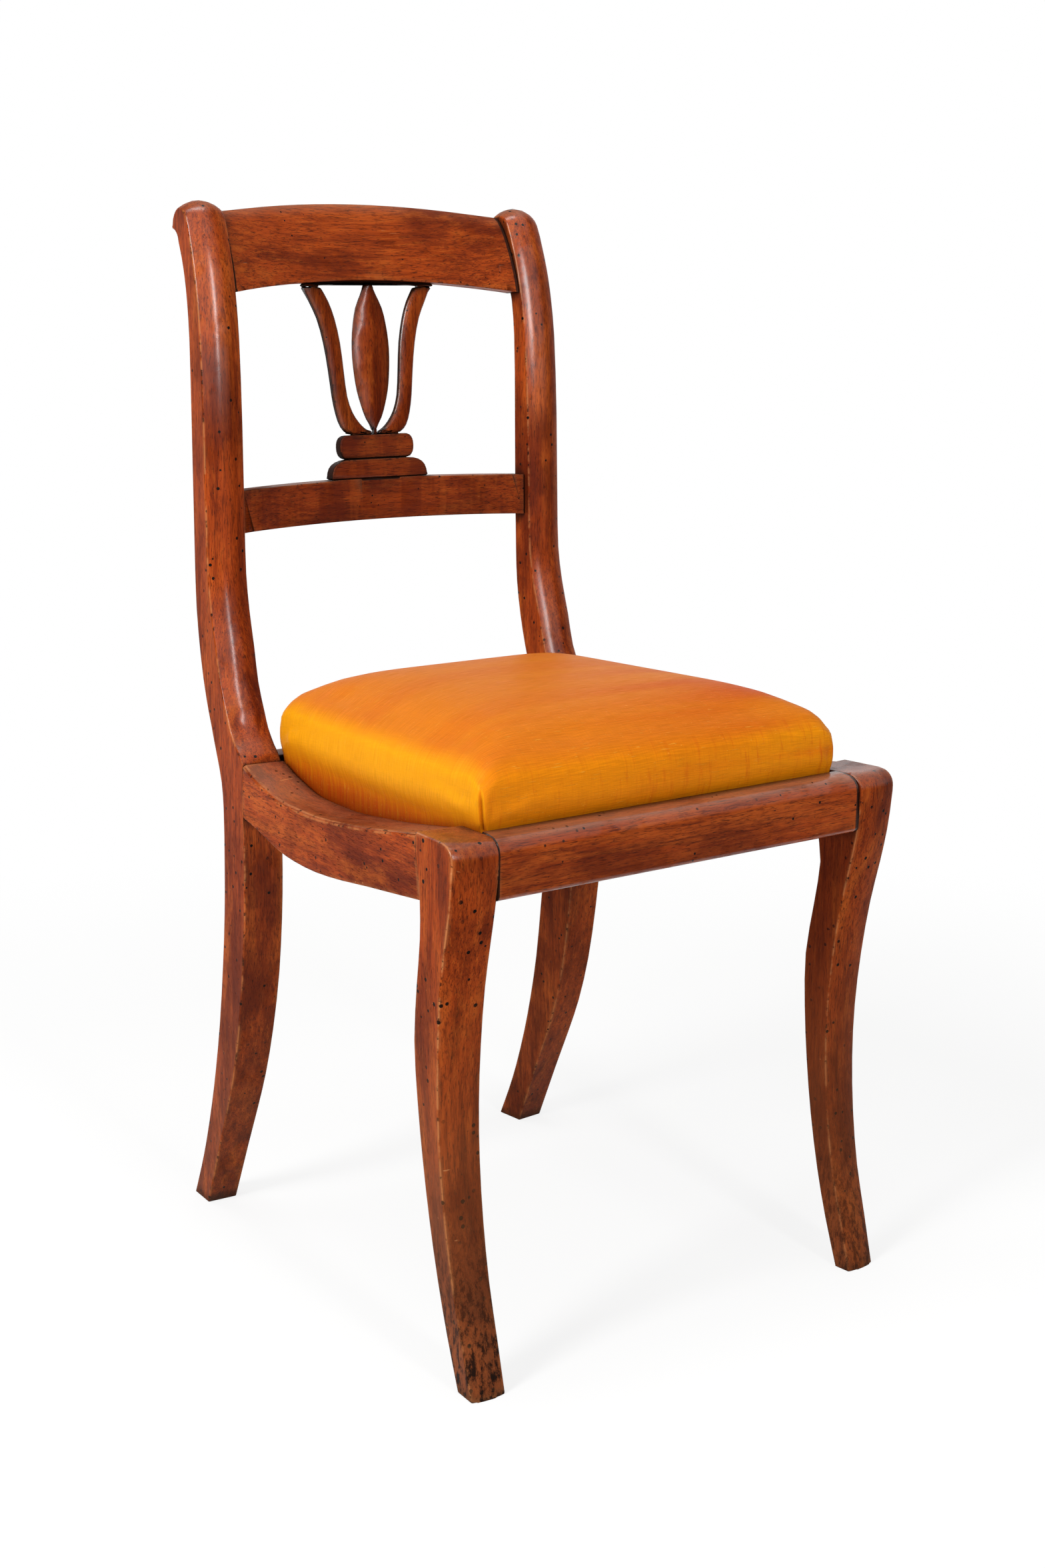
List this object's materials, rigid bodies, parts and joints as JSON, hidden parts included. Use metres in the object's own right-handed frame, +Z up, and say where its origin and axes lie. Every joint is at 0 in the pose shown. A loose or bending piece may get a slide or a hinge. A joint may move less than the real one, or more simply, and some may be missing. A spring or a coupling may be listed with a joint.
{
  "type": "lyre back dining chair",
  "caption": "Wooden dining chair with sabre legs, scrolled stiles, a lyre splat and an upholstered drop-in seat.",
  "frame": {"origin": "on the floor under the middle of the whole chair", "axes": "+Z up, -Y to the front, where the sitter faces, +X to the right as seen from the front"},
  "size_m": [0.4262, 0.4741, 0.8612],
  "materials": {
    "polished_mahogany": "old french polish, satin",
    "plain_beech": "unfinished",
    "jute_webbing": "woven jute",
    "horsehair": "stuffing in calico",
    "shot_silk": "slubbed shot silk",
    "base_linen": "plain linen"
  },
  "bodies": {
    "chair_frame": {"left_stile": "polished_mahogany", "left_front_leg": "polished_mahogany", "left_side_rail": "polished_mahogany", "right_stile": "polished_mahogany", "right_front_leg": "polished_mahogany", "right_side_rail": "polished_mahogany", "crest_rail": "polished_mahogany", "mid_back_rail": "polished_mahogany", "front_seat_rail": "polished_mahogany", "rear_seat_rail": "polished_mahogany", "splat_base": "polished_mahogany", "splat_collar": "polished_mahogany", "left_lyre_arm": "polished_mahogany", "right_lyre_arm": "polished_mahogany", "lyre_leaf": "polished_mahogany", "splat_top_batten": "polished_mahogany", "left_front_corner_block": "plain_beech", "right_front_corner_block": "plain_beech", "left_rear_corner_block": "plain_beech", "right_rear_corner_block": "plain_beech"},
    "drop_in_seat": {"seat_frame_front": "plain_beech", "seat_frame_rear": "plain_beech", "seat_frame_left": "plain_beech", "seat_frame_right": "plain_beech", "webbing_across_front": "jute_webbing", "webbing_across_middle": "jute_webbing", "webbing_across_rear": "jute_webbing", "webbing_along_left": "jute_webbing", "webbing_along_middle": "jute_webbing", "webbing_along_right": "jute_webbing", "seat_padding": "horsehair", "seat_silk_cover": "shot_silk", "seat_base_cloth": "base_linen"}
  },
  "joints": [
    {"name": "seat_lift", "type": "slide", "parent": "chair_frame", "child": "drop_in_seat", "axis": [0, 0, 1], "range_m": [0, 0.12]}
  ]
}
